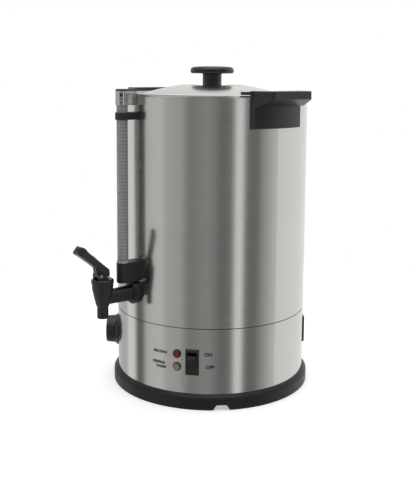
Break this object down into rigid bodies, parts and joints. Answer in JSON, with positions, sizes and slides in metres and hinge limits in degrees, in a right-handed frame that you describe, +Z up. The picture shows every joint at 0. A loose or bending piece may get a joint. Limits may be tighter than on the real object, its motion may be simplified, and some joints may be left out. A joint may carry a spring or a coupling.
{
  "type": "hot water urn",
  "caption": "Stainless steel catering hot water urn with lift-off lid, side handles, sight gauge, lever tap, dial thermostat, rocker switch and pilot lamps",
  "frame": {"origin": "The centre of the foot ring, on the surface that the urn stands on", "axes": "+Z up along the urn's own axis, -Y towards the tap"},
  "size_m": [0.3588, 0.4081, 0.5007],
  "materials": {
    "brushed_stainless": "brushed round the body, bright lines seen sideways",
    "polished_stainless": "polished",
    "black_phenolic": "satin, moulded, heat-proof",
    "clear_tube": "smoke-tinted clear tube, slightly frosted",
    "black_rubber": "black rubber washer",
    "silicone": "grey silicone seal",
    "cast_aluminium": "cast",
    "zinc_steel": "bright zinc",
    "brass": "plain",
    "rocker_plastic": "gloss",
    "red_lens": "dark red, see-through",
    "amber_lens": "dark amber, see-through"
  },
  "bodies": {
    "urn": {"base_ring": "black_phenolic", "base_screws": "zinc_steel", "bottom_plate": "zinc_steel", "dry_boil_cutout": "black_phenolic", "gauge_cap": "polished_stainless", "gauge_clip": "black_phenolic", "gauge_clip_screw": "zinc_steel", "gauge_lower_block": "black_phenolic", "gauge_nut": "brass", "gauge_plug": "black_phenolic", "gauge_seal": "silicone", "gauge_tube": "clear_tube", "heater_element": "zinc_steel", "heater_plate": "cast_aluminium", "heating_lamp_holder": "black_phenolic", "heating_lamp_lens": "red_lens", "inlet_pins": "brass", "inlet_screws": "zinc_steel", "left_handle": "black_phenolic", "left_handle_screws": "zinc_steel", "lower_housing": "brushed_stainless", "power_inlet": "black_phenolic", "right_handle": "black_phenolic", "right_handle_screws": "zinc_steel", "switch_housing": "rocker_plastic", "tank_floor": "brushed_stainless", "tank_wall": "brushed_stainless", "tap_body": "black_phenolic", "tap_bonnet": "black_phenolic", "tap_collar": "black_phenolic", "tap_inner_seal": "silicone", "tap_nut": "black_phenolic", "tap_outer_seal": "black_rubber", "tap_pivot_pin": "zinc_steel", "tap_shank": "black_phenolic", "terminal_block": "black_phenolic", "thermostat_bezel": "black_phenolic", "thermostat_body": "black_phenolic", "thermostat_bulb": "brass", "tie_rods": "zinc_steel", "warming_lamp_holder": "black_phenolic", "warming_lamp_lens": "amber_lens"},
    "lid": {"lid_shell": "brushed_stainless", "lid_knob": "black_phenolic", "lid_washer": "zinc_steel", "lid_knob_screw": "zinc_steel"},
    "lever": {"tap_lever": "black_phenolic"},
    "valve": {"tap_stem": "zinc_steel", "tap_seat_cup": "silicone", "tap_spring": "zinc_steel"},
    "dial": {"thermostat_knob": "black_phenolic", "thermostat_shaft": "zinc_steel"},
    "rocker": {"switch_rocker": "rocker_plastic"}
  },
  "joints": [
    {"name": "lid_lift", "type": "slide", "parent": "urn", "child": "lid", "axis": [0, 0, 1], "range_m": [0, 0.08]},
    {"name": "tap_lever_hinge", "type": "hinge", "parent": "urn", "child": "lever", "pos_m": [0, -0.2135, 0.196], "axis": [1, 0, 0], "range_deg": [0, 20.5]},
    {"name": "tap_valve_slide", "type": "slide", "parent": "urn", "child": "valve", "axis": [0, 0, 1], "range_m": [0, 0.00248], "stiffness_N_per_m": 80, "springref_m": -0.005, "deforming": ["tap_spring"]},
    {"name": "thermostat_turn", "type": "hinge", "parent": "urn", "child": "dial", "pos_m": [0, 0, 0.0736], "axis": [-0.6428, -0.766, 0], "range_deg": [-135, 135]},
    {"name": "switch_rock", "type": "hinge", "parent": "urn", "child": "rocker", "pos_m": [0.09359, -0.11154, 0.07], "axis": [0.766, 0.6428, 0], "range_deg": [-18, 0]}
  ],
  "couplings": [
    {"joint": "tap_lever_hinge", "follows": "tap_valve_slide", "rad_per_m": 140.84}
  ]
}
